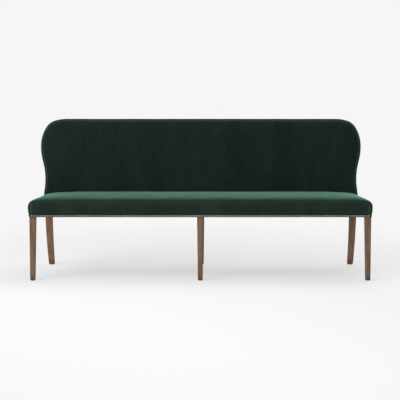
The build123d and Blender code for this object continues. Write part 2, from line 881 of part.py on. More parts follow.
def staple(x, y, along_x):
    """The crown of a staple, flat against the dust cover."""
    half = staple_crown / 2
    wire = staple_wire / 2
    span_x = half if along_x else wire
    span_y = wire if along_x else half
    return block((x - span_x, x + span_x), (y - span_y, y + span_y), (dust_z0 - staple_wire, dust_z0))


dust_cover_staples = []
staple_span = post_inner_x - leg_top
staple_count = int(staple_span / staple_pitch)
for index in range(staple_count):
    x = leg_top + staple_pitch * (index + 1 / 2)
    for place in (x, -x):
        dust_cover_staples.append(staple(place, dust_front + staple_inset, True))
        dust_cover_staples.append(staple(place, dust_rear - staple_inset, True))
side_staple_y = leg_back_y + leg_top
side_staple_span = front_of_back(hem_height, frame_w1) - leg_top - side_staple_y
for index in range(int(side_staple_span / staple_pitch) + 1):
    y = side_staple_y + staple_pitch * index
    for place in (dust_half - staple_inset, -dust_half + staple_inset):
        dust_cover_staples.append(staple(place, y, False))


# Nailheads along the hem
def nailhead():
    """A faceted dome on the XY plane, rising along +Z."""
    radius = nail_head_diameter / 2
    shoulder = nail_head_height * nail_shoulder_height_share
    draw_in = radius * (1 - nail_shoulder_share) * cos(radians(180 / nail_sides))
    lower = extrude(RegularPolygon(radius, nail_sides), shoulder, taper=degrees(atan(draw_in / shoulder)))
    cap = lower.faces().sort_by(Axis.Z)[-1]
    return lower + loft([cap, Vertex(0, 0, nail_head_height)], ruled=True)


def nail_stand_off(y):
    """Gap under a side nail: the side of the back swells a little over the height of a head."""
    meeting_w = back_thickness - back_crown - back_edge_radius
    meeting_w += sqrt(2 * back_edge_radius * back_side_step)
    if y + nail_head_diameter / 4 < front_of_back(nail_z, meeting_w):
        return soft_gap
    swell_radius = side_arcs()[0][0]
    top = (nail_rise + nail_head_diameter / 2) / rake_cos
    swell = swell_radius - sqrt(swell_radius**2 - top**2)
    return soft_gap / 2 + back_side_step + swell


nail = nailhead()
nail_z = hem_height + nail_rise


def nail_at(x, y, outward):
    """A nailhead against the hem, facing a direction in plan."""
    along = (-outward[1], outward[0], 0)
    place = Plane(origin=(x, y, nail_z), x_dir=along, z_dir=(*outward, 0))
    return nail.moved(place.location)


corner_x = hem_half - seat_corner_radius
corner_y = seat_front_y + hem_inset + seat_corner_radius
front_count = int(2 * corner_x / nail_pitch) + 1
front_start = -nail_pitch * (front_count - 1) / 2
front_nail_y = seat_front_y + hem_inset - soft_gap / 2
nailheads_front = []
for index in range(front_count):
    nailheads_front.append(nail_at(front_start + nail_pitch * index, front_nail_y, (0, -1)))
diagonal_reach = (seat_corner_radius + soft_gap / 2) / sqrt(2)
for side in (1, -1):
    x = side * (corner_x + diagonal_reach)
    nailheads_front.append(nail_at(x, corner_y - diagonal_reach, (side, -1)))

side_span = front_of_back(nail_z, 0) - nail_head_diameter / 2 - corner_y
side_count = int(side_span / nail_pitch) + 1
nailheads_right = []
for index in range(side_count + 1):
    nail_y = corner_y + side_span * index / side_count
    nailheads_right.append(nail_at(hem_half + nail_stand_off(nail_y), nail_y, (1, 0)))
nailheads_left = [mirrored(head) for head in nailheads_right]

# Foot glides under the six legs
rear_foot_y = rear_leg_y(glide_height + foot_chamfer)
foot_glides = []
for x in (-leg_center_x, 0, leg_center_x):
    foot_glides += [glide(x, front_leg_y), glide(x, rear_foot_y)]

nodes = {
    "front_leg_left": front_leg_left,
    "front_leg_middle": front_leg_middle,
    "front_leg_right": front_leg_right,
    "rear_leg_left": rear_leg_left,
    "rear_leg_middle": rear_leg_middle,
    "rear_leg_right": rear_leg_right,
    "foot_glides": foot_glides,
    "front_rail": front_rail,
    "rear_rail": rear_rail,
    "side_rail_left": side_rail_left,
    "side_rail_right": side_rail_right,
    "cross_rail_left": cross_rail_left,
    "cross_rail_middle": cross_rail_middle,
    "cross_rail_right": cross_rail_right,
    "corner_blocks": corner_blocks,
    "corner_block_screws": corner_block_screws,
    "leg_bolts": leg_bolts,
    "leg_bolt_washers": leg_bolt_washers,
    "lap_bolts": lap_bolts,
    "lap_screws": lap_screws,
    "seat_webbing": seat_webbing,
    "seat_hessian": seat_hessian,
    "seat_foam": seat_foam,
    "seat_cover": seat_cover,
    "dust_cover": dust_cover,
    "dust_cover_staples": dust_cover_staples,
    "nailheads_front": nailheads_front,
    "nailheads_left": nailheads_left,
    "nailheads_right": nailheads_right,
    "back_top_rail": build_top_back_rail(0),
    "back_lower_rail": cut(build_lower_back_rail(0), lap_screw_holes),
    "back_end_piece_left": back_end_piece_left,
    "back_end_piece_right": back_end_piece_right,
    "back_stiles": back_stiles,
    "back_webbing": back_webbing,
    "back_hessian": back_hessian,
    "back_foam": back_foam,
    "back_cover": back_cover,
    "back_board": back_board,
    "back_outside_cover": back_outside_cover,
}
for name, shape in nodes.items():
    if isinstance(shape, list):
        shape = Compound([solid for piece in shape for solid in piece.solids()])
    export_step(shape, f"parts/{name}.step")
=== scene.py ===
"""Looks of the upholstered dining bench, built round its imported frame, in metres."""
import math
import random

import bmesh
import bpy
from mathutils import Matrix, Vector, noise


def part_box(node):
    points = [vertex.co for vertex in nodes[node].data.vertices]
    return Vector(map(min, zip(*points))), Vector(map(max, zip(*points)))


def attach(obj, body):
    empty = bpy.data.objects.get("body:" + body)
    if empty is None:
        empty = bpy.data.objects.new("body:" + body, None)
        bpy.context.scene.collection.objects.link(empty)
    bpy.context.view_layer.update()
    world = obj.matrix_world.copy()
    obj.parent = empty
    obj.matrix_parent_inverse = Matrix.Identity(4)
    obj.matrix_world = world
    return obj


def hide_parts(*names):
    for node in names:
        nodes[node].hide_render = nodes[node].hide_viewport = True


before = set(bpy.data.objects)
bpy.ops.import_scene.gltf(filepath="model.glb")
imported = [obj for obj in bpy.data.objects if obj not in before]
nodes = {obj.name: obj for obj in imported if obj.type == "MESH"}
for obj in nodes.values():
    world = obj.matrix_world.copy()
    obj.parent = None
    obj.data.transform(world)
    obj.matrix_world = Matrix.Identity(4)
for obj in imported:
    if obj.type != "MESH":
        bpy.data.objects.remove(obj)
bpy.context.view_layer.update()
MM = 0.001

# Places read from the frame
seat_low, seat_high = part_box("seat_cover")
dust_low, dust_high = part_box("dust_cover")
hem_z = seat_low.z
seat_half = seat_high.x
seat_front_y = seat_low.y
rail_low, rail_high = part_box("front_rail")
pocket_top_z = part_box("seat_hessian")[1].z
back_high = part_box("back_cover")[1]

# Seat pad
soft_gap = 0.4 * MM
hem_inset = 5 * MM
hem_band = 11.5 * MM
hem_half = seat_half - hem_inset
under_turn = 25 * MM
bulge_rise = 52 * MM
edge_rise = 89.5 * MM
edge_inset = 10 * MM
crown_rise = 115 * MM
crown_run = 235 * MM
lower_edge_shares = [(1.0, 0.0), (0.4, 0.35), (0.0, 1.0)]
upper_edge_shares = [(0.22, 0.6), (1.0, 1.0)]
crown_shares = [(0.031, 0.235), (0.08, 0.41), (0.19, 0.61), (0.42, 0.8), (1.0, 1.0)]
hem_roll = [(2.0, -1.3), (0.3, -1.3), (0.0, -0.7), (0.0, 3.5), (0.0, 7.5)]  # mm: inset, rise
hidden_rings = 7  # of the pocket over the frame and the cloth turned under
profile_spacing = 9 * MM
pocket_rear_gap = 3 * MM
tuck_radius = 20 * MM
corner_radius = 18 * MM
corner_spread = 0.55  # how fast the corners widen towards the crown
corner_drop = 3.5 * MM
drop_reach = 130 * MM
drop_start = 60 * MM
drop_fade = 30 * MM
side_steps = 32
corner_steps = 5
close_spacing = 5 * MM
close_columns = 8

# Corner seams of the seat, and the painted sheen along them
seam_gap = 1.6 * MM
seam_shifts = ((-1, -0.9 * MM), (0, 2.4 * MM), (1, -0.9 * MM))  # column, how far in
seam_sheen_marks = ((-1, 0.25), (0, 0.8), (1, 0.5))  # column, how much painted sheen lies along the seam
seam_start = 2 * MM
seam_end = edge_rise + 4 * MM
seam_fade = 30 * MM

# Back pad and the panel behind it
rake = math.radians(10)
back_thickness = 80 * MM
back_radius = 33 * MM
back_crown = 4 * MM
back_center_w = back_thickness - back_crown - back_radius
back_side_step = 1 * MM
flare_step = 4.5 * MM
waist_inset = 1.5 * MM
shoulder_overhang = 34.5 * MM
flare_rise_share = 0.134
waist_rise_share = 0.284
shoulder_share = 0.45
corner_radius_shares = (0.396, 0.1635, 0.43)
corner_headings = (0, 30, 72, 90)
back_top_rise = back_radius + (
    back_high.z - hem_z - back_radius - (back_thickness - back_radius) * math.sin(rake)
) / math.cos(rake)
back_hem_y = back_high.y - back_top_rise * math.sin(rake)
back_across = 160
back_spacing = 11 * MM
outline_spacing = 6 * MM
face_rounds = 3
back_foot_steps = 3
least_step = 0.1 * MM
rear_rim = [(2.3, 0.2), (1.6, 0.4), (0.5, 1.4), (0.0, 3.5)]  # mm: inset, forward
boxing_shares = (0.3, 0.55, 0.8)
face_run = 56 * MM
face_shares = ((0.16, 0.3), (0.35, 0.58), (0.6, 0.82), (1, 1))
seam_angle = 60
seam_half = 2.5
seam_ridge = 1.2 * MM
seam_groove = -2.8 * MM
back_seam_sheen_marks = ((-1, 0.55), (0, 0.9), (1, 0.35))  # ring, how much painted sheen lies along the seam
panel_inset = 2.8 * MM
panel_profile = [(4.6, 2.0), (3.2, 1.6), (2.7, 0.7), (3.0, -0.5), (4.4, -1.3), (7.0, -1.5),
                 (12.0, -1.4), (24.0, -1.6), (40.0, -1.9)]  # mm: inset, forward

# Cloth: how far it may move, and where it is held still
cloth_frames = 16
cloth_cap = 3.5 * MM
cloth_pressure = 3.0
back_held_w = 74 * MM
back_held_fade = 8 * MM
back_foot_rise = 70 * MM
back_foot_fade = 40 * MM
seat_rear_held = 70 * MM
seat_foot_rise = 34 * MM
seat_foot_fade = 16 * MM
seat_side_wall = 6 * MM
seat_front_wall = 9 * MM
pocket_wall = 2 * MM
seat_wave_start = 40 * MM

# Legs
leg_top = 38 * MM
leg_foot = 28.5 * MM
rear_leg_top = 46 * MM
rear_leg_foot = 37 * MM
leg_radius = 8 * MM
head_radius = 12 * MM
foot_radius = 6 * MM
foot_chamfer = 4.5 * MM
foot_steps = ((0.0, foot_chamfer, 0.6), (0.4 * MM, 3.9 * MM, 0.65), (3.7 * MM, 0.6 * MM, 1.0))
# Height over which the legs are painted darker towards the foot, as painted shade
foot_shade_height = 45 * MM
glide_height = 1.5 * MM
sabre_kick = 106 * MM
sabre_radius = 1150 * MM
post_depth = 36 * MM
post_middle_w = 23 * MM
post_top_rise = back_top_rise - 111 * MM
post_edge_radius = 2 * MM
lap_depth = 11 * MM
lap_middle_w = 10.5 * MM
lap_top_rise = 168 * MM
leg_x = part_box("front_leg_right")[1].x - leg_top / 2
front_leg_y = rail_low.y + leg_top / 2
head_step = 1 * MM
head_gap = 3 * MM
post_steps = 4
leg_corner_steps = 6
leg_unevenness = 0.12 * MM
leg_uneven_scale = 60
leg_uneven_seed = 7

# Nails
nail_pitch = 13 * MM
nail_radius = 4.75 * MM
nail_height = 2.6 * MM
nail_lean = 0.05
nail_sizes = (0.97, 1.02)
nail_seed = 7
dome_steps = [(1.0, 0.0, 1.0), (0.985, 0.2, 1.0), (0.9, 0.46, 1.0), (0.72, 0.72, 0.85),
              (0.46, 0.91, 0.25), (0.2, 0.985, 0.0)]  # shares of radius, height and painted rim shade
dome_sides = 12
pucker_height = 0.7 * MM
pucker_start = 1 * MM
pucker_end = 26 * MM
pucker_fade = 16 * MM
pucker_reach = 3 * MM
seat_turn_x = hem_half - corner_radius
seat_columns = int(seat_turn_x / nail_pitch) - 1

# Dust cover
dust_sag = 6 * MM
dust_thickness = 0.7 * MM
dust_edge = 30 * MM
dust_side_run = 260 * MM
dust_spacing_x = 24 * MM
dust_spacing_y = 20 * MM
dust_post_gap = 5 * MM
dust_ripple = 0.25
dust_ripple_x = 9
dust_ripple_y = 5

# Room, as the strength of its white
room_white = 0.922
room_light = 0.46
floor_tone = 0.71
floor_reach = 40.0
floor_fade = {"From_Min": 0.9, "From_Max": 3.0, "To_Min": 0.6}  # metres away, share of glow

# The frame of the back: across, up the rake, and forward
back_frame = Matrix((
    (1, 0, 0, 0),
    (0, math.sin(rake), -math.cos(rake), back_hem_y),
    (0, math.cos(rake), math.sin(rake), hem_z),
    (0, 0, 0, 1),
))


# Materials
def rgba(color):
    """A colour with its alpha, where a number is a grey."""
    return (*color, 1) if isinstance(color, tuple) else (color, color, color, 1)


def put(socket, value):
    """Links a socket to the one given, or sets it to the value given."""
    if isinstance(value, bpy.types.NodeSocket):
        socket.id_data.links.new(value, socket)
    else:
        socket.default_value = rgba(value) if socket.type == "RGBA" else value


def set_sockets(node, **values):
    """Sets or links a node's own sockets, named with underscores for spaces."""
    for name, value in values.items():
        put(node.inputs[name.replace("_", " ")], value)


def node_adder(tree):
    """A function that adds a node to a tree."""

    def add(kind, first=(), **values):
        """Capital names are sockets, the others properties; first fills sockets by place."""
        node = tree.nodes.new(kind)
        for name, value in values.items():
            if name[0].islower():
                setattr(node, name, value)
        for socket, value in zip(node.inputs, first):
            put(socket, value)
        set_sockets(node, **{name: value for name, value in values.items() if name[0].isupper()})
        return node

    return add


def new_material(name):
    """A material with its shader and the function that adds a node."""
    material = bpy.data.materials.new(name)
    material.use_nodes = True
    tree = material.node_tree
    return material, tree.nodes["Principled BSDF"], node_adder(tree)


def ramp(add, source, stops):
    """A colour ramp with its stops, fed by a value."""
    node = add("ShaderNodeValToRGB", Fac=source)
    elements = node.color_ramp.elements
    while len(elements) < len(stops):
        elements.new(0.5)
    for element, (place, color) in zip(elements, stops):
        element.position = place
        element.color = rgba(color)
    return node.outputs["Color"]


def ranged(add, value, **limits):
    """A value mapped from one range to another."""
    return add("ShaderNodeMapRange", Value=value, **limits).outputs["Result"]


def mapped(add, scale):
    """Object coordinates, scaled along each axis."""
    place = add("ShaderNodeTexCoord").outputs["Object"]
    return add("ShaderNodeMapping", Vector=place, Scale=scale).outputs["Vector"]


def noise_value(add, scale, detail, stretch=(1, 1, 1), roughness=0.5, distortion=0.0):
    """A noise value over the object's coordinates."""
    node = add("ShaderNodeTexNoise", Vector=mapped(add, stretch), Scale=scale, Detail=detail,
               Roughness=roughness, Distortion=distortion)
    return node.outputs["Fac"]


def mixed(add, share, first, second, blend="MIX"):
    """Two colours mixed by a value or a number."""
    node = add("ShaderNodeMix", [share], data_type="RGBA", blend_type=blend)
    for socket, color in zip(node.inputs[6:8], (first, second)):
        put(socket, color)
    return node.outputs[2]


def bumped(add, shader, heights):
    """Chains bumps, each (height, distance in metres, strength), into the shader's normal."""
    chain = {}
    for height, distance, strength in heights:
        bump = add("ShaderNodeBump", Height=height, Distance=distance, Strength=strength, **chain)
        chain = {"Normal": bump.outputs["Normal"]}
    set_sockets(shader, **chain)


def velvet_material(name, dark, light, seam_sheen_color):
    """Short cotton pile: dark face on, pale at grazing angles, brushed in patches, with painted
    sheen along its seams.
    """
    material, shader, add = new_material(name)
    brushed = noise_value(add, 5, 3, (1.6, 1.6, 0.45), 0.55, 0.4)
    streaks = noise_value(add, 34, 4, (1.5, 1.5, 0.22), 0.6)
    pile = noise_value(add, 1500, 2)
    patches = ramp(add, brushed, [(0.34, 0.0), (0.66, 1.0)])
    lines = ramp(add, streaks, [(0.36, 0.0), (0.64, 1.0)])
    tufts = ramp(add, pile, [(0.3, 0.0), (0.7, 1.0)])
    broad = mixed(add, patches, dark, light)
    fine = mixed(add, 0.35, broad, mixed(add, lines, dark, light))
    shaded = mixed(add, 0.3, fine, mixed(add, tufts, 0.35, 1.5), "MULTIPLY")
    # Painted sheen: a lighter colour along the seams, where the seam attribute says.
    seam = add("ShaderNodeAttribute", attribute_name="seam").outputs["Fac"]
    set_sockets(
        shader,
        Base_Color=mixed(add, seam, shaded, seam_sheen_color),
        Roughness=ranged(add, brushed, To_Min=0.82, To_Max=0.96),
        Specular_IOR_Level=0.06,
        Sheen_Weight=0.78,
        Sheen_Roughness=0.26,
        Sheen_Tint=(0.31, 0.75, 0.52),
    )
    bumps = [(brushed, 3 * MM, 0.25), (streaks, 0.6 * MM, 0.3), (pile, 0.25 * MM, 0.55)]
    bumped(add, shader, bumps)
    return material


def wood_material(name, deep, middle, pale, along, gloss, edge_wear=0.0):
    """Straight-grained wood with pores, its grain along one axis, worn where it is rubbed, with
    painted shade that darkens it towards the foot.
    """
    material, shader, add = new_material(name)

    def squeezed(share):
        return tuple(share if axis == along else 1 for axis in range(3))

    fine = noise_value(add, 260, 6, squeezed(0.045), 0.62, 0.15)
    broad = noise_value(add, 46, 4, squeezed(0.11), 0.5, 0.9)
    pores = noise_value(add, 900, 2, squeezed(0.03), 0.4)
    stripes = ramp(add, broad, [(0.30, deep), (0.5, middle), (0.7, pale)])
    threads = ramp(add, fine, [(0.34, (0.66, 0.64, 0.62)), (0.62, 1.12)])
    grain = mixed(add, 0.75, stripes, threads, "MULTIPLY")
    pits = ramp(add, pores, [(0.34, (0.5, 0.48, 0.46)), (0.44, 1.0)])
    tone = mixed(add, 0.6, grain, pits, "MULTIPLY")
    if edge_wear:
        pointed = add("ShaderNodeNewGeometry").outputs["Pointiness"]
        edges = ramp(add, pointed, [(0.5, 0.0), (0.56, 1.0)])
        rubbed = noise_value(add, 30, 4, (1, 1, 0.5))
        spots = ramp(add, rubbed, [(0.42, 0.0), (0.62, edge_wear)])
        worn = mixed(add, 1.0, edges, spots, "MULTIPLY")
        tone = mixed(add, worn, tone, tuple(1.5 * part for part in pale))
        # Painted shade: the wood grows darker towards the foot, below the height set for it.
        place = add("ShaderNodeTexCoord").outputs["Object"]
        height = add("ShaderNodeSeparateXYZ", Vector=place).outputs["Z"]
        foot_shade_stops = [(0.0, (0.34, 0.33, 0.32)), (0.3, (0.62, 0.61, 0.6)), (1.0, 1.0)]
        foot_shade = ramp(add, ranged(add, height, From_Max=foot_shade_height), foot_shade_stops)
        tone = mixed(add, 1.0, tone, foot_shade, "MULTIPLY")
    set_sockets(
        shader,
        Base_Color=tone,
        Roughness=ranged(add, fine, To_Min=gloss, To_Max=gloss + 0.2),
        Specular_IOR_Level=0.28,
        Coat_Weight=0.06,
        Coat_Roughness=0.35,
    )
    bumped(add, shader, [(fine, 0.25 * MM, 0.35), (pores, 0.2 * MM, 0.4)])
    return material


def metal_material(name, clean, patina, rim_shade_color, share, roughness):
    """Metal with a darker patina that lies in patches, and painted shade round its rim."""
    material, shader, add = new_material(name)
    cloud = noise_value(add, 130, 5, roughness=0.6)
    dents = noise_value(add, 420, 3)
    cover = ramp(add, cloud, [(0.5 - share / 2, 0.0), (0.5 + share / 2, 1.0)])
    # Painted shade: a near-black colour round each nailhead's rim, where the rim attribute says.
    rim = add("ShaderNodeAttribute", attribute_name="rim").outputs["Fac"]
    set_sockets(
        shader,
        Base_Color=mixed(add, rim, mixed(add, cover, patina, clean), rim_shade_color),
        Roughness=ranged(add, cloud, To_Min=roughness + 0.22, To_Max=roughness),
        Metallic=1.0,
    )
    bumped(add, shader, [(dents, 0.25 * MM, 0.5)])
    return material


def weave_material(name, warp, weft, pitch, roughness=0.9, sheen=0.3):
    """Plain woven cloth: threads over and under at a pitch."""
    material, shader, add = new_material(name)
    waves = []
    for axis in "XY":
        waves.append(add(
            "ShaderNodeTexWave",
            bands_direction=axis,
            Vector=mapped(add, (1, 1, 1)),
            Scale=math.pi / (10 * pitch),
            Distortion=0.6,
            Detail=1,
        ).outputs["Fac"])
    slubs = noise_value(add, 90, 4)
    cloth = mixed(add, waves[0], warp, weft)
    cloth = mixed(add, 0.8, cloth, mixed(add, waves[1], 0.75, 1.05), "MULTIPLY")
    worn = ramp(add, slubs, [(0.3, 0.8), (0.7, 1.1)])
    set_sockets(
        shader,
        Base_Color=mixed(add, 0.7, cloth, worn, "MULTIPLY"),
        Roughness=roughness,
        Specular_IOR_Level=0.2,
        Sheen_Weight=sheen,
        Sheen_Roughness=0.5,
    )
    bumped(add, shader, [(wave, 0.3 * MM, 0.5) for wave in waves])
    return material


def plain_material(name, first, second, scale, roughness, depth):
    """A matt material with mottled colour and a fine surface, for foam, board and nylon."""
    material, shader, add = new_material(name)
    mottle = noise_value(add, scale, 5, roughness=0.65)
    grain = noise_value(add, scale * 6, 3)
    color = ramp(add, mottle, [(0.32, first), (0.68, second)])
    set_sockets(shader, Base_Color=color, Roughness=roughness, Specular_IOR_Level=0.3)
    bumped(add, shader, [(grain, depth, 0.5)])
    return material


# The third colour of each velvet is the painted sheen along its seams.
velvet = velvet_material(
    "velvet", (0.0052, 0.0096, 0.0071), (0.0098, 0.0163, 0.0123), (0.032, 0.052, 0.041))
# The seat's copy of the velvet: the same cloth with a lighter base, painted light that brightens
# the seat against the back.
seat_velvet_painted_light = velvet_material(
    "seat_velvet_painted_light", (0.0074, 0.0145, 0.0108), (0.0134, 0.0238, 0.0182), (0.036, 0.06, 0.047))
walnut = wood_material(
    "walnut", (0.082, 0.044, 0.0235), (0.126, 0.07, 0.038), (0.172, 0.098, 0.0535), 2, 0.36, 0.3)
# The rear legs' copy of the walnut: the same wood with a lighter base, painted light for legs that
# stand in the seat's shade.
rear_walnut_painted_light = wood_material(
    "rear_walnut_painted_light", (0.104, 0.057, 0.033), (0.16, 0.09, 0.0535), (0.217, 0.127, 0.076), 2, 0.36, 0.3)
beech_tones = ((0.46, 0.31, 0.19), (0.56, 0.4, 0.26), (0.64, 0.48, 0.33))
beech_x, beech_y, beech_z = (
    wood_material(f"beech_{letter}", *beech_tones, axis, 0.55) for axis, letter in enumerate("xyz"))
# The brass's third colour is the painted shade round each nailhead's rim.
brass = metal_material(
    "antique_brass", (0.86, 0.78, 0.58), (0.4, 0.33, 0.21), (0.014, 0.012, 0.008), 0.3, 0.28)
steel = metal_material("zinc_steel", (0.6, 0.6, 0.61), (0.32, 0.33, 0.35), 0.3, 0.5, 0.32)
webbing = weave_material("jute_webbing", (0.34, 0.25, 0.15), (0.2, 0.15, 0.09), 2.5 * MM)
hessian = weave_material("hessian", (0.4, 0.31, 0.19), (0.27, 0.2, 0.12), 1.6 * MM)
dust_black = weave_material(
    "dust_cover_black", (0.014, 0.014, 0.015), (0.022, 0.022, 0.023), 0.9 * MM, 0.95, 0.15)
hardboard = plain_material("hardboard", (0.2, 0.13, 0.08), (0.27, 0.18, 0.115), 160, 0.7, 0.1 * MM)
nylon = plain_material("nylon", (0.045, 0.04, 0.035), (0.07, 0.06, 0.052), 120, 0.45, 0.05 * MM)
foam = plain_material("foam", (0.66, 0.6, 0.42), (0.74, 0.68, 0.5), 300, 0.95, 0.4 * MM)

# Materials of the CAD nodes
node_materials = {
    walnut: ["front_leg_left", "front_leg_middle", "front_leg_right"],
    rear_walnut_painted_light: ["rear_leg_left", "rear_leg_middle", "rear_leg_right"],
    beech_x: ["front_rail", "rear_rail", "back_top_rail", "back_lower_rail"],
    beech_y: ["side_rail_left", "side_rail_right", "cross_rail_left", "cross_rail_middle",
              "cross_rail_right", "corner_blocks"],
    beech_z: ["back_stiles", "back_end_piece_left", "back_end_piece_right"],
    steel: ["corner_block_screws", "leg_bolts", "leg_bolt_washers", "lap_bolts", "lap_screws",
            "dust_cover_staples"],
    brass: ["nailheads_front", "nailheads_left", "nailheads_right"],
    webbing: ["seat_webbing", "back_webbing"],
    hessian: ["seat_hessian", "back_hessian"],
    dust_black: ["dust_cover"],
    hardboard: ["back_board"],
    nylon: ["foot_glides"],
    foam: ["seat_foam", "back_foam"],
    velvet: ["seat_cover", "back_cover", "back_outside_cover"],
}
for material, names in node_materials.items():
    for name in names:
        materials = nodes[name].data.materials
        materials.clear()
        materials.append(material)


# Mesh helpers
def placed(name, data):
    """A new object of the scene."""
    piece = bpy.data.objects.new(name, data)
    bpy.context.scene.collection.objects.link(piece)
    return piece


def mesh_object(name, vertices, faces, material):
    """An object in the row frame from points and faces, with its faces turned outwards."""
    mesh = bpy.data.meshes.new(name)
    mesh.from_pydata([tuple(point) for point in vertices], [], faces)
    work = bmesh.new()
    work.from_mesh(mesh)
    bmesh.ops.recalc_face_normals(work, faces=work.faces)
    work.to_mesh(mesh)
    work.free()
    mesh.materials.append(material)
    return placed(name, mesh)


def dressed(piece, slot, *replaced):
    """Puts a piece on the body in place of its CAD nodes, which it hides; the slot is not used."""
    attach(piece, "root")
    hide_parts(*replaced)


def bands(start, levels, count):
    """Quads between closed rings with equally many points, from a first point on."""
    faces = []
    for low in range(start, start + (levels - 1) * count, count):
        for index in range(count):
            ahead = (index + 1) % count
            faces.append((low + index, low + ahead, low + count + ahead, low + count + index))
    return faces


def pad_object(name, rings, across, material):
    """A closed form of quads: bands between rings, and a grid inside each end ring.

    A ring runs up its right side, across from right to left, down its left side and back across.
    """
    count = len(rings[0])
    up = count // 2 - across
    far = 2 * up + across
    points = [point for ring in rings for point in ring]
    faces = bands(0, len(rings), count)
    for level in (0, len(rings) - 1):
        ring = rings[level]
        base = level * count
        grid = {}
        for i in range(across + 1):
            for j in range(up + 1):
                start = -i % count
                end = up + i
                if j == 0:
                    grid[i, j] = base + start
                elif j == up:
                    grid[i, j] = base + end
                elif i == 0:
                    grid[i, j] = base + j
                elif i == across:
                    grid[i, j] = base + far - j
                else:
                    u = i / across
                    v = j / up
                    lengthwise = ring[start].lerp(ring[end], v)
                    crosswise = ring[j].lerp(ring[far - j], u)
                    low_edge = ring[0].lerp(ring[far], u)
                    high_edge = ring[up].lerp(ring[up + across], u)
                    grid[i, j] = len(points)
                    points.append(lengthwise + crosswise - low_edge.lerp(high_edge, v))
        for i in range(across):
            for j in range(up):
                faces.append((grid[i, j], grid[i + 1, j], grid[i + 1, j + 1], grid[i, j + 1]))
    return mesh_object(name, points, faces, material)


def marked(piece, name, values):
    """Gives each point of a piece a number that its material reads."""
    attribute = piece.data.attributes.new(name, "FLOAT", "POINT")
    attribute.data.foreach_set("value", values)


def apply_modifiers(piece):
    """Bakes the modifiers of a piece into its mesh."""
    graph = bpy.context.evaluated_depsgraph_get()
    mesh = bpy.data.meshes.new_from_object(piece.evaluated_get(graph))
    piece.modifiers.clear()
    piece.data = mesh


def subdivided(piece):
    """Gives a piece one level of subdivision, shaded smooth."""
    piece.modifiers.new("finer", "SUBSURF").levels = 1
    apply_modifiers(piece)
    piece.data.shade_smooth()


def sharpened(piece, degrees=38):
    """Shades smooth, apart from edges over an angle."""
    piece.data.shade_smooth()
    piece.data.set_sharp_from_angle(angle=math.radians(degrees))


def moved_points(piece, move):
    """Moves each vertex by a function of its place."""
    for vertex in piece.data.vertices:
        vertex.co = move(vertex.co)
    piece.data.update()


def limited(value):
    """A value kept between 0 and 1."""
    return min(1.0, max(0.0, value))


def interpolated(points, value):
    """The second number at a value of the first, along points in rising order of the first."""
    if value <= points[0][0]:
        return points[0][1]
    for (low, start), (high, end) in zip(points, points[1:]):
        if value <= high:
            return start + (end - start) * (value - low) / (high - low)
    return points[-1][1]


def smooth_line(points, spacing):
    """Closely spaced points on a smooth curve through a few given ones."""
    line = []
    last = len(points) - 1
    for index in range(last):
        start, end = points[index], points[index + 1]
        near = (points[max(index - 1, 0)], start, end, points[min(index + 2, last)])
        steps = max(2, math.ceil(math.dist(start, end) / spacing))
        for step in range(steps):
            t = step / steps
            line.append(tuple(
                (2 * b + (c - a) * t + (2 * a - 5 * b + 4 * c - d) * t**2
                 + (3 * b - a - 3 * c + d) * t**3) / 2
                for a, b, c, d in zip(*near)
            ))
    line.append(points[-1])
    return line


def puffed(piece, held):
    """Blows a pad up as cloth where it is free, no further than a cap, and subdivides it."""
    start = [vertex.co.copy() for vertex in piece.data.vertices]
    group = piece.vertex_groups.new(name="held")
    for vertex in piece.data.vertices:
        group.add([vertex.index], held(vertex.co), "REPLACE")
    cloth = piece.modifiers.new("cloth", "CLOTH")
    settings = cloth.settings
    settings.vertex_group_mass = "held"
    settings.use_pressure = True
    settings.uniform_pressure_force = cloth_pressure
    settings.effector_weights.gravity = 0
    settings.quality = 4
    settings.tension_stiffness = 15
    settings.compression_stiffness = 15
    settings.shear_stiffness = 5
    settings.bending_stiffness = 1.5
    cloth.collision_settings.use_collision = False
    cloth.point_cache.frame_start = 1
    cloth.point_cache.frame_end = cloth_frames
    scene = bpy.context.scene
    for moment in range(1, cloth_frames + 1):
        scene.frame_set(moment)
    apply_modifiers(piece)
    scene.frame_set(1)
    piece.vertex_groups.clear()
    for vertex, place in zip(piece.data.vertices, start):
        shift = vertex.co - place
        length = shift.length
        if length > 0:
            vertex.co = place + shift * (cloth_cap * math.tanh(length / cloth_cap) / length)
    subdivided(piece)


def waved(piece, height, size, free=None):
    """Gives a surface the slight waves of hand-stretched cloth, where it is free."""
    mesh = piece.data
    shifts = []
    for vertex in mesh.vertices:
        share = free(vertex.co) if free else 1.0
        broad = noise.noise(vertex.co / size)
        fine = noise.noise(vertex.co / (size / 4))
        shifts.append(vertex.normal * (share * height * (broad + fine / 4)))
    for vertex, shift in zip(mesh.vertices, shifts):
        vertex.co += shift
    mesh.update()


# Back
def s_curve(step, rise, first_share):
    """Two arcs, each (radius, turn), that step sideways and end up parallel."""
    radii_sum = (step**2 + rise**2) / (2 * abs(step))
    turn = math.asin(rise / radii_sum) * (1 if step > 0 else -1)
    return [(radii_sum * first_share, turn), (radii_sum * (1 - first_share), -turn)]


def side_arcs():
    """Every arc up the side of the back as (radius, turn), where an outward turn is positive."""
    corner = []
    corner_height = 0
    for share, start, end in zip(corner_radius_shares, corner_headings, corner_headings[1:]):
        radius = back_top_rise * share
        corner_height += radius * (math.sin(math.radians(end)) - math.sin(math.radians(start)))
        corner.append((radius, math.radians(start - end)))
    flare_rise = back_top_rise * flare_rise_share
    waist_rise = back_top_rise * waist_rise_share
    foot_step = hem_inset + flare_step - back_side_step
    arcs = s_curve(foot_step, flare_rise, 0.5)
    arcs += s_curve(-flare_step - waist_inset, waist_rise - flare_rise, 0.5)
    wide_rise = back_top_rise - corner_height
    arcs += s_curve(waist_inset + shoulder_overhang, wide_rise - waist_rise, 1 - shoulder_share)
    return arcs + corner


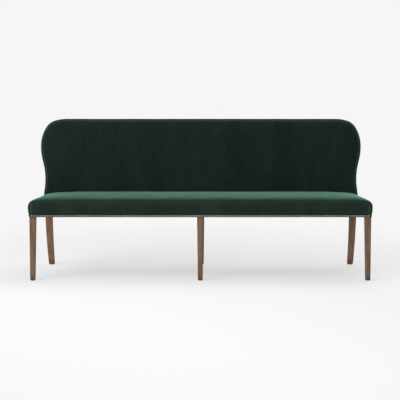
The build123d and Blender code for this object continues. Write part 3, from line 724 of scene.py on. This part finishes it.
def side_line(inset, spacing):
    """Points (x, rise) up the right side of the back, a little inside its outline."""
    x = hem_half + back_side_step - inset
    rise = 0.0
    heading = 0.0
    points = [(x, rise)]
    for radius, turn in side_arcs():
        side = 1 if turn > 0 else -1
        own = radius + side * inset
        center_x = x + side * own * math.cos(heading)
        center_rise = rise - side * own * math.sin(heading)
        steps = max(2, math.ceil(radius * abs(turn) / spacing))
        for step in range(1, steps + 1):
            angle = heading + turn * step / steps
            points.append((
                center_x - side * own * math.cos(angle),
                center_rise + side * own * math.sin(angle),
            ))
        heading += turn
        x, rise = points[-1]
    return points


def back_ring(inset, forward, foot_rise):
    """A closed ring of the back in its own frame: across, up the rake, and forward."""
    right = side_line(inset, back_spacing)
    level_rise = (foot_rise - forward * math.sin(rake)) / math.cos(rake)
    foot_x, first_rise = right[0]
    foot = []
    for step in range(back_foot_steps):
        share = step / back_foot_steps
        foot.append((foot_x, level_rise + (first_rise - level_rise) * share))
    if level_rise > first_rise:
        right = [(x, max(rise, level_rise + i * least_step)) for i, (x, rise) in enumerate(right)]
        steps_down = range(back_foot_steps, 0, -1)
        foot = [(foot_x, level_rise - step * least_step) for step in steps_down]
    side = foot + right
    across = [1 - 2 * step / back_across for step in range(1, back_across)]
    top_x, top_rise = side[-1]
    top = [(top_x * share, top_rise) for share in across]
    left = [(-x, rise) for x, rise in reversed(side)]
    low_x, low_rise = side[0]
    bottom = [(-low_x * share, low_rise) for share in across]
    return [Vector((x, rise, forward)) for x, rise in side + top + left + bottom]


def back_profile():
    """Points (inset, forward) of the back, from its rear rim over its seam to its front."""
    points = [(inset * MM, forward * MM) for inset, forward in rear_rim]
    points += [(0.0, back_center_w * share) for share in boxing_shares]
    groove = (seam_angle, seam_groove)
    steps = [(0, 0), (13, 0), (26, 0), (39, 0), (49, 0), (seam_angle - 5, seam_ridge / 2),
             (seam_angle - seam_half, seam_ridge), groove,
             (seam_angle + seam_half, seam_ridge),
             (seam_angle + 6, seam_ridge), (74, seam_ridge)]
    groove_ring = len(points) + steps.index(groove)
    for angle, stand_off in steps:
        reach = back_radius + stand_off
        points.append((
            back_radius - reach * math.cos(math.radians(angle)),
            back_center_w + reach * math.sin(math.radians(angle)),
        ))
    inset, forward = points[-1]
    for run, rise in face_shares:
        points.append((inset + face_run * run, forward + (back_thickness - forward) * rise))
    return points, groove_ring


# Points (rise, x) up the lower half of the back's outline, where the seat meets it
outline = [(rise, x) for x, rise in side_line(0.0, outline_spacing) if rise < back_top_rise / 2]


def back_face_y(x, z):
    """Y of the front of the back at a place across and a height, closer with each round."""
    forward = back_thickness
    for _ in range(face_rounds):
        rise = (z - hem_z - forward * math.sin(rake)) / math.cos(rake)
        inset = max(interpolated(outline, rise) - abs(x), 0.0)
        if inset < back_radius:
            round_depth = math.sqrt(back_radius**2 - (back_radius - inset) ** 2)
            forward = back_center_w + round_depth
        else:
            forward = back_center_w + back_radius
        forward += back_crown * min(inset / (2 * back_radius), 1.0)
    return back_hem_y + rise * math.sin(rake) - forward * math.cos(rake)


def make_back_pad():
    """The front and boxing of the back, as one full pad with a seam round its front."""
    profile, groove_ring = back_profile()
    rings = [back_ring(inset, forward, 0.0) for inset, forward in profile]
    pad = pad_object("back_pad", rings, back_across, velvet)
    seams = [0.0] * len(pad.data.vertices)
    count = len(rings[0])
    # The rings round the back's seam groove get painted sheen.
    for step, depth in back_seam_sheen_marks:
        start = (groove_ring + step) * count
        seams[start:start + count] = [depth] * count
    marked(pad, "seam", seams)

    def held(place):
        rear = limited((back_held_w - place.z) / back_held_fade)
        foot = limited((back_foot_rise - place.y) / back_foot_fade)
        return max(rear, foot)

    puffed(pad, held)
    waved(pad, height=0.8 * MM, size=110 * MM)
    pad.data.transform(back_frame)
    dressed(pad, "velvet", "back_cover", "back_foam")


def make_outside_panel():
    """The velvet panel on the outside of the back, its folded edge slip-stitched inside the rim."""
    rings = []
    for inset, forward in panel_profile:
        foot_rise = rail_low.z - hem_z - panel_inset + inset * MM
        rings.append(back_ring(inset * MM, forward * MM, foot_rise))
    panel = pad_object("back_outside_panel", rings, back_across, velvet)
    subdivided(panel)
    waved(panel, height=0.5 * MM, size=140 * MM)
    panel.data.transform(back_frame)
    dressed(panel, "velvet", "back_outside_cover")


# Seat
def seam_share(rise):
    """How deep the corner seam is drawn in at a rise: it dies out at the top edge."""
    return limited((seam_end - rise) / seam_fade) if rise > seam_start else 0.0


def front_shares():
    """Places along the front, as shares of its straight half, one close to each corner seam."""
    columns = range(seat_columns, -seat_columns - 1, -1)
    inner = [nail_pitch * column / seat_turn_x for column in columns]
    beside = 1 - seam_gap / seat_turn_x
    return [1.0, beside] + inner + [-beside, -1.0]


def rear_shares(count):
    """Places along the rear, closer together where the seat meets the round edge of the back."""
    close = close_spacing / seat_half
    shares = [-1.0 + close * index for index in range(close_columns)]
    start = -1.0 + close * close_columns
    middle = count - 2 * close_columns
    shares += [start + 2 * -start * index / middle for index in range(middle + 1)]
    return shares + [-share for share in reversed(shares[:close_columns])]


def seat_ring(inset, rise, rear_offset=0.0, more_inset_front=0.0, radius=None):
    """A level ring of the seat, from its right rear corner round the front and back."""
    z = hem_z + rise
    side_x = seat_half - inset
    front_y = seat_front_y + inset + more_inset_front
    if radius is None:
        radius = corner_radius + corner_spread * max(inset - hem_inset, 0.0)
    turn_x = side_x - radius
    turn_y = front_y + radius
    rear_y = back_face_y(side_x, z) - soft_gap - rear_offset
    run = turn_y - rear_y
    right = [(side_x, rear_y + run * step / side_steps) for step in range(side_steps)]
    arc = []
    for step in range(2 * corner_steps + 1):
        angle = math.radians(45 * step / corner_steps)
        if step == 2 * corner_steps - 1:
            angle = math.radians(90) - seam_gap / radius
        arc.append((turn_x + radius * math.cos(angle), turn_y - radius * math.sin(angle)))
    right += arc[:corner_steps + 1]
    corner = arc[corner_steps:-1]
    front = corner + [(turn_x * share, front_y) for share in front_shares()]
    front += [(-x, y) for x, y in reversed(corner)]
    for index, shift in seam_shifts:
        for place in (corner_steps + index, len(front) - 1 - corner_steps - index):
            x, y = front[place]
            front[place] = (x, y + shift * seam_share(rise))
    left = [(-x, y) for x, y in reversed(right)]
    rear = []
    for share in rear_shares(len(front) - 1):
        x = side_x * share
        rear.append((x, back_face_y(x, z) - soft_gap - rear_offset))
    loop = right[:-1] + front[:-1] + left[:-1] + rear[:-1]
    return [Vector((x, y, z)) for x, y in loop]


def seat_profile():
    """Points (inset, rise) from the top of the hem band up the edge and over the crown."""
    swell = bulge_rise - hem_band
    points = [(hem_inset * inset, hem_band + swell * rise) for inset, rise in lower_edge_shares]
    for inset, rise in upper_edge_shares:
        points.append((edge_inset * inset, bulge_rise + (edge_rise - bulge_rise) * rise))
    for run, rise in crown_shares:
        points.append((
            edge_inset + (crown_run - edge_inset) * run,
            edge_rise + (crown_rise - edge_rise) * rise,
        ))
    return smooth_line(points, profile_spacing)


def tuck_offset(rise):
    """How far the rear edge of the seat rolls down in front of the back."""
    over = limited((rise - (crown_rise - tuck_radius)) / tuck_radius)
    return tuck_radius * (1 - math.sqrt(1 - over**2))


def seat_rings():
    """Every ring of the seat, from the pocket over the frame by the hem to the crown."""
    wall = seat_half - (leg_x + leg_top / 2) - soft_gap
    more = (rail_low.y - soft_gap - seat_front_y) - wall
    pocket_rise = pocket_top_z + soft_gap - hem_z
    strip = rail_low.z - hem_z - least_step
    turned = hem_inset + under_turn
    rings = []
    for rise in (pocket_rise, 0.5 * pocket_rise, strip):
        rings.append(seat_ring(wall, rise, pocket_rear_gap, more, head_radius))
    for inset, rise in ((turned, strip), (turned + 0.5 * MM, 0.5 * strip), (turned, 0.0)):
        rings.append(seat_ring(inset, rise, pocket_rear_gap, 0.0, head_radius))
    for inset, rise in hem_roll:
        rings.append(seat_ring(hem_inset + inset * MM, rise * MM))
    for inset, rise in seat_profile():
        rings.append(seat_ring(inset, rise, tuck_offset(rise)))
    return rings


def make_seat_pad():
    """The seat: a crowned pad, drawn in at its hem, that stops against the back."""
    rings = seat_rings()
    count = len(rings[0])
    up = side_steps + corner_steps
    across = count // 2 - up
    pad = pad_object("seat_pad", rings, across, seat_velvet_painted_light)
    seams = [0.0] * len(pad.data.vertices)
    # The corner seams of the seat get painted sheen, fading where the seam dies out.
    for level in range(hidden_rings, len(rings)):
        shown = seam_share(rings[level][0].z - hem_z)
        for index, depth in seam_sheen_marks:
            beside = corner_steps + index
            for place in (up + beside, up + across - beside):
                seams[level * count + place] = depth * shown
    marked(pad, "seam", seams)
    corner = Vector((seat_half, seat_front_y))

    def dropped(place):
        high = limited((place.z - hem_z - drop_start) / drop_fade)
        away = (Vector((abs(place.x), place.y)) - corner).length / drop_reach
        return place - Vector((0, 0, corner_drop * high * math.exp(-away**2)))

    def held(place):
        away = back_face_y(place.x, place.z) - place.y
        rear = limited(1 - away / seat_rear_held)
        foot = limited((hem_z + seat_foot_rise - place.z) / seat_foot_fade)
        inside_x = abs(place.x) < seat_half - seat_side_wall
        inside = inside_x and place.y > seat_front_y + seat_front_wall
        pocket = 1.0 if inside and place.z < pocket_top_z + pocket_wall else 0.0
        return max(rear, foot, pocket)

    def free_of_edges(place):
        return 1 - held(place) if place.z > hem_z + seat_wave_start else 0.0

    side_low, side_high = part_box("nailheads_right")
    side_start = side_low.y + nail_radius
    side_run = (side_high.y - side_low.y) - 2 * nail_radius
    side_pitch = side_run / round(side_run / nail_pitch)

    def puckered(place):
        """Draws the cloth in at each nail and lets it swell between two."""
        rise = place.z - hem_z
        if not pucker_start < rise < pucker_end:
            return place
        height = pucker_height * min(1.0, (pucker_end - rise) / pucker_fade)
        if place.y < seat_front_y + hem_inset + pucker_reach and abs(place.x) < seat_turn_x:
            wave = -math.cos(2 * math.pi * place.x / nail_pitch)
            return place - Vector((0, height * wave, 0))
        if abs(place.x) > hem_half - pucker_reach:
            wave = -math.cos(2 * math.pi * (place.y - side_start) / side_pitch)
            return place + Vector((math.copysign(height * wave, place.x), 0, 0))
        return place

    moved_points(pad, dropped)
    puffed(pad, held)
    waved(pad, height=1.3 * MM, size=130 * MM, free=free_of_edges)
    moved_points(pad, puckered)
    dressed(pad, "velvet", "seat_cover", "seat_foam")


# Dust cover
def grid_lines(start, end, spacing, extra):
    """Evenly spaced lines from start to end, with some exact ones added."""
    count = math.ceil((end - start) / spacing)
    lines = [start + (end - start) * index / count for index in range(count + 1)]
    lines = [line for line in lines if all(abs(line - own) > spacing / 4 for own in extra)]
    return sorted(lines + list(extra))


def make_dust_cover():
    """Black cloth stapled under the frame, notched round the legs, with a slight sag."""
    reach = leg_top / 2 + soft_gap
    rear_reach = rear_leg_top / 2 + soft_gap
    front_end = rail_low.y + leg_top + soft_gap
    rear_start = back_hem_y - (post_depth + dust_post_gap) / math.cos(rake) - soft_gap
    notches = []
    for x in (-leg_x, 0.0, leg_x):
        notches.append((x - reach, x + reach, dust_low.y, front_end))
        notches.append((x - rear_reach, x + rear_reach, rear_start, dust_high.y))
    edges_x = [dust_low.x, dust_high.x]
    edges_x += [x for notch in notches for x in notch[:2] if abs(x) < dust_high.x]
    edges_y = [dust_low.y, dust_high.y, front_end, rear_start]
    lines_x = grid_lines(dust_low.x, dust_high.x, dust_spacing_x, edges_x)
    lines_y = grid_lines(dust_low.y, dust_high.y, dust_spacing_y, edges_y)
    vertices = []
    index_of = {}
    faces = []

    def lowered(x, y):
        from_side = limited((dust_high.x - abs(x) - dust_edge) / dust_side_run)
        across = limited((y - dust_low.y - dust_edge) / (dust_high.y - dust_low.y - 2 * dust_edge))
        ripple = 1 + dust_ripple * noise.noise(Vector((x * dust_ripple_x, y * dust_ripple_y, 0)))
        return dust_sag * math.sin(math.pi * across) * math.sin(math.pi / 2 * from_side) * ripple

    def corner_index(i, j):
        if (i, j) not in index_of:
            index_of[i, j] = len(vertices)
            x = lines_x[i]
            y = lines_y[j]
            vertices.append((x, y, dust_high.z - least_step - lowered(x, y)))
        return index_of[i, j]

    for i in range(len(lines_x) - 1):
        for j in range(len(lines_y) - 1):
            x = (lines_x[i] + lines_x[i + 1]) / 2
            y = (lines_y[j] + lines_y[j + 1]) / 2
            if any(x0 < x < x1 and y0 < y < y1 for x0, x1, y0, y1 in notches):
                continue
            corners = ((i, j), (i + 1, j), (i + 1, j + 1), (i, j + 1))
            faces.append(tuple(corner_index(*corner) for corner in corners))
    cloth = mesh_object("dust_cover_cloth", vertices, faces, dust_black)
    solid = cloth.modifiers.new("thick", "SOLIDIFY")
    solid.thickness = dust_thickness
    solid.offset = -1
    apply_modifiers(cloth)
    sharpened(cloth)
    dressed(cloth, "dust_cover", "dust_cover")


# Nails
def islands(mesh):
    """The separate pieces of a mesh, each as a list of its points."""
    work = bmesh.new()
    work.from_mesh(mesh)
    bmesh.ops.remove_doubles(work, verts=work.verts, dist=0.01 * MM)
    pieces = []
    seen = set()
    for vertex in work.verts:
        if vertex in seen:
            continue
        piece = []
        waiting = [vertex]
        seen.add(vertex)
        while waiting:
            current = waiting.pop()
            piece.append(current.co.copy())
            for edge in current.link_edges:
                other = edge.other_vert(current)
                if other not in seen:
                    seen.add(other)
                    waiting.append(other)
        pieces.append(piece)
    work.free()
    return pieces


def add_dome(vertices, faces, rim_shades, base, outward, dice):
    """A domed nailhead, a little out of true as hand-driven ones are."""
    lean = Vector((dice.uniform(-1, 1), dice.uniform(-1, 1), dice.uniform(-1, 1))) * nail_lean
    axis = (outward + lean).normalized()
    along = axis.orthogonal().normalized()
    other = axis.cross(along)
    start = len(vertices)
    size = nail_radius * dice.uniform(*nail_sizes)
    for radius_share, height_share, rim in dome_steps:
        rim_shades += [rim] * dome_sides
        for step in range(dome_sides):
            angle = 2 * math.pi * step / dome_sides
            spoke = along * math.cos(angle) + other * math.sin(angle)
            height = axis * (nail_height * height_share)
            vertices.append(base + spoke * (size * radius_share) + height)
    top = len(vertices)
    vertices.append(base + axis * nail_height)
    rim_shades.append(0.0)
    faces += bands(start, len(dome_steps), dome_sides)
    last = top - dome_sides
    for step in range(dome_sides):
        faces.append((last + step, last + (step + 1) % dome_sides, top))
    faces.append(tuple(start + step for step in range(dome_sides)))


def make_nails():
    """A row of domed nails along the front and each side, where the frame has them."""
    dice = random.Random(nail_seed)
    for node in ("nailheads_front", "nailheads_left", "nailheads_right"):
        vertices = []
        faces = []
        rim_shades = []
        for piece in islands(nodes[node].data):
            middle = sum(piece, Vector()) / len(piece)
            if node != "nailheads_front":
                outward = Vector((math.copysign(1, middle.x), 0, 0))
            elif abs(middle.x) > seat_turn_x:
                outward = Vector((math.copysign(1, middle.x), -1, 0)).normalized()
            else:
                outward = Vector((0, -1, 0))
            seat = min(point.dot(outward) for point in piece)
            base = middle + outward * (seat - middle.dot(outward))
            add_dome(vertices, faces, rim_shades, base, outward, dice)
        row = mesh_object(f"{node}_domed", vertices, faces, brass)
        marked(row, "rim", rim_shades)
        sharpened(row, degrees=60)
        dressed(row, "nail_brass", node)


# Legs
def leg_ring(x, y, z, width, depth, radius):
    """A level ring of points with round corners."""
    ring = []
    for sign_x, sign_y, start in ((1, 1, 0), (-1, 1, 90), (-1, -1, 180), (1, -1, 270)):
        for step in range(leg_corner_steps + 1):
            angle = math.radians(start + 90 * step / leg_corner_steps)
            ring.append(Vector((
                x + sign_x * (width / 2 - radius) + radius * math.cos(angle),
                y + sign_y * (depth / 2 - radius) + radius * math.sin(angle),
                z,
            )))
    return ring


def leg_rings(x, middle_y, foot_width, top_width, top_depth, steps):
    """The rings of a leg from its chamfered foot to the rail, round a line of middle points."""
    start_z = glide_height + foot_chamfer
    y = middle_y(start_z)
    rings = []
    for rise, step, radius_share in foot_steps:
        size = (foot_width - 2 * step, leg_foot - 2 * step)
        rings.append(leg_ring(x, y, glide_height + rise, *size, foot_radius * radius_share))
    for step in range(steps + 1):
        share = step / steps
        z = start_z + (rail_low.z - start_z) * share
        width = foot_width + (top_width - foot_width) * share
        depth = leg_foot + (top_depth - leg_foot) * share
        radius = foot_radius + (leg_radius - foot_radius) * share
        rings.append(leg_ring(x, middle_y(z), z, width, depth, radius))
    return rings


def finished_leg(node, rings, material):
    """A leg from its rings, softened a little so that no edge is ruler straight."""
    count = len(rings[0])
    vertices = [point for ring in rings for point in ring]
    faces = bands(0, len(rings), count)
    faces.append(tuple(range(count)))
    faces.append(tuple(range(len(vertices) - count, len(vertices))))
    leg = mesh_object(f"{node}_shaped", vertices, faces, material)

    def softened(place):
        return place + noise.noise_vector(place * leg_uneven_scale) * leg_unevenness

    moved_points(leg, softened)
    sharpened(leg)
    dressed(leg, "show_wood", node)


def front_leg(side, x):
    """A straight tapered leg with its square head inside the seat."""
    rings = leg_rings(x, lambda z: front_leg_y, leg_foot, leg_top, leg_top, steps=24)
    for z in (rail_low.z + head_step, rail_high.z):
        rings.append(leg_ring(x, front_leg_y, z, leg_top, leg_top, head_radius))
    finished_leg(f"front_leg_{side}", rings, walnut)


def rear_leg_y(z):
    """Centre line of the curved rear leg."""
    top_y = back_hem_y - post_middle_w / math.cos(rake)
    chord = math.hypot(sabre_kick, hem_z)
    half_turn = math.asin(chord / 2 / sabre_radius)
    foot_heading = math.asin(sabre_kick / chord) + half_turn
    center_y = top_y + sabre_kick + sabre_radius * math.cos(foot_heading)
    center_z = sabre_radius * math.sin(foot_heading)
    return center_y - math.sqrt(sabre_radius**2 - (center_z - z) ** 2)


def rear_leg(side, x, post_w, depth_above, top_rise):
    """A sabre leg, swept out behind, that runs on up the back as a raked post."""
    top_depth = post_depth / math.cos(rake)
    rings = leg_rings(x, rear_leg_y, rear_leg_foot, rear_leg_top, top_depth, steps=32)
    slope = math.tan(rake)
    for step in range(post_steps + 1):
        z = rail_low.z + head_step + (top_rise * math.cos(rake) - head_gap) * step / post_steps
        y = back_hem_y + (z - hem_z) * slope - post_w / math.cos(rake)
        depth = depth_above / math.cos(rake)
        rings.append(leg_ring(x, y, z, leg_top, depth, post_edge_radius))
    finished_leg(f"rear_leg_{side}", rings, rear_walnut_painted_light)


def make_legs():
    """The six legs, of which the middle rear one ends behind the lower back rail."""
    post = (post_middle_w, post_depth, post_top_rise)
    lap = (lap_middle_w, lap_depth, lap_top_rise)
    noise.seed_set(leg_uneven_seed)  # without it, noise_vector differs from run to run
    for side, x, above in (("left", -leg_x, post), ("middle", 0.0, lap), ("right", leg_x, post)):
        front_leg(side, x)
        rear_leg(side, x, *above)


# Camera, light and floor
def make_camera():
    """The photograph's level view from the front."""
    data = bpy.data.cameras.new("camera")
    data.lens = 74.3
    data.sensor_width = 36
    data.shift_x = -0.0154
    data.shift_y = -0.165
    camera = placed("camera", data)
    camera.location = (0.034, -5.093, 0.8512)
    camera.rotation_euler = (math.radians(90), 0, 0)
    bpy.context.scene.camera = camera


def make_area(name, place, target, size, power):
    """A soft square lamp that faces a point."""
    data = bpy.data.lights.new(name, "AREA")
    data.shape = "SQUARE"
    data.size = size
    data.energy = power
    lamp = placed(name, data)
    lamp.location = place
    lamp.rotation_euler = (Vector(target) - Vector(place)).to_track_quat("-Z", "Y").to_euler()
    lamp.visible_camera = False


def make_world():
    """A plain pale room: full brightness to the eye, less as light on the object."""
    world = bpy.data.worlds.new("room")
    bpy.context.scene.world = world
    world.use_nodes = True
    add = node_adder(world.node_tree)
    path = add("ShaderNodeLightPath").outputs
    seen = path["Is Camera Ray"]
    for name in ("Is Glossy Ray", "Is Transmission Ray"):
        seen = add("ShaderNodeMath", (seen, path[name]), operation="MAXIMUM").outputs[0]
    strength = ranged(add, seen, To_Min=room_light, To_Max=room_white)
    set_sockets(world.node_tree.nodes["Background"], Color=1.0, Strength=strength)


def make_floor():
    """A pale floor that keeps the shadow near the bench and fades into the room further off."""
    material, shader, add = new_material("floor")
    set_sockets(shader, Base_Color=floor_tone, Roughness=0.9, Specular_IOR_Level=0.1)
    glow = add("ShaderNodeEmission", Color=room_white)
    place = add("ShaderNodeTexCoord").outputs["Object"]
    away = add("ShaderNodeVectorMath", [place], operation="LENGTH").outputs["Value"]
    fade = ranged(add, away, interpolation_type="SMOOTHSTEP", **floor_fade)
    both = add("ShaderNodeMixShader", (fade, shader.outputs["BSDF"], glow.outputs["Emission"]))
    output = material.node_tree.nodes["Material Output"]
    set_sockets(output, Surface=both.outputs["Shader"])
    signs = ((-1, -1), (1, -1), (1, 1), (-1, 1))
    corners = [(floor_reach * x, floor_reach * y, 0) for x, y in signs]
    mesh_object("floor", corners, [(0, 1, 2, 3)], material)


make_back_pad()
make_outside_panel()
make_seat_pad()
make_nails()
make_dust_cover()
make_legs()
make_camera()
make_world()
make_floor()
make_area("key", (-2.2, -2.0, 2.9), (0, 0, 0.6), size=2.4, power=108)
make_area("top", (1.1, 0.7, 3.4), (0.2, 0, 0.6), size=2.4, power=70)
make_area("low_fill", (0.3, -3.0, 0.5), (0.2, 0, 0.3), size=2.0, power=30)
bpy.context.scene.view_settings.view_transform = "Standard"
